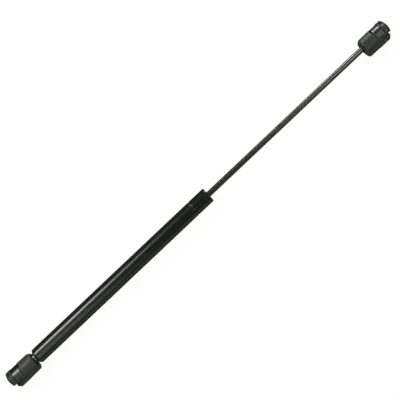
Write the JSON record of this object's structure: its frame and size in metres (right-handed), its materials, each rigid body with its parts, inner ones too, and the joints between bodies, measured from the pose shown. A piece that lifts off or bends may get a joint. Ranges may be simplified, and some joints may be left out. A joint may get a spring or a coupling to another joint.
{
  "type": "gas strut stay",
  "caption": "Gas strut stay: a slim black cylinder with a sliding rod that pushes out under gas pressure, and a clipped ball socket at each end.",
  "frame": {"origin": "centre of the ball in the tube-end socket", "axes": "+X along the strut from the tube end to the rod end; -Y out of both ball sockets' mouths; +Z completes the set"},
  "size_m": [0.527, 0.0215, 0.0214],
  "materials": {
    "tube_paint": "gloss black enamel",
    "plug_steel": "turned steel, phosphated black",
    "zinc_steel": "turned steel, zinc plated",
    "rod_steel": "ground, nitrided and polished, dark grey",
    "seal_rubber": "nitrile rubber, matt",
    "guide_plastic": "natural acetal",
    "ring_plastic": "filled PTFE",
    "piston_metal": "die cast",
    "socket_nylon": "moulded glass-filled nylon, satin black",
    "clip_steel": "spring steel strip, blued and oiled"
  },
  "bodies": {
    "cylinder": {"cylinder_tube": "tube_paint", "end_plug": "plug_steel", "end_plug_o_ring": "seal_rubber", "cover_washer": "zinc_steel", "guide_bush": "guide_plastic", "guide_o_ring": "seal_rubber", "rod_seal": "seal_rubber", "seal_backing_washer": "zinc_steel", "spacer_sleeve": "guide_plastic", "tube_end_socket": "socket_nylon"},
    "ring": {"piston_ring": "ring_plastic"},
    "rod": {"piston_rod": "rod_steel", "piston_front_disc": "zinc_steel", "piston_rear_disc": "zinc_steel", "piston": "piston_metal", "rod_end_socket": "socket_nylon"},
    "tube_clip": {"tube_end_clip": "clip_steel"},
    "rod_clip": {"rod_end_clip": "clip_steel"}
  },
  "joints": [
    {"name": "rod_slide", "type": "slide", "parent": "cylinder", "child": "ring", "axis": [-1, 0, 0], "range_m": [0, 0.2], "stiffness_N_per_m": 225, "springref_m": -0.667},
    {"name": "rod_turn", "type": "hinge", "parent": "ring", "child": "rod", "pos_m": [0.25, 0, 0], "axis": [1, 0, 0], "continuous": true},
    {"name": "tube_clip_release", "type": "slide", "parent": "cylinder", "child": "tube_clip", "axis": [0, 1, 0], "range_m": [0, 0.0048], "stiffness_N_per_m": 600, "springref_m": -0.002},
    {"name": "rod_clip_release", "type": "slide", "parent": "rod", "child": "rod_clip", "axis": [0, 1, 0], "range_m": [0, 0.0048], "stiffness_N_per_m": 600, "springref_m": -0.002}
  ]
}
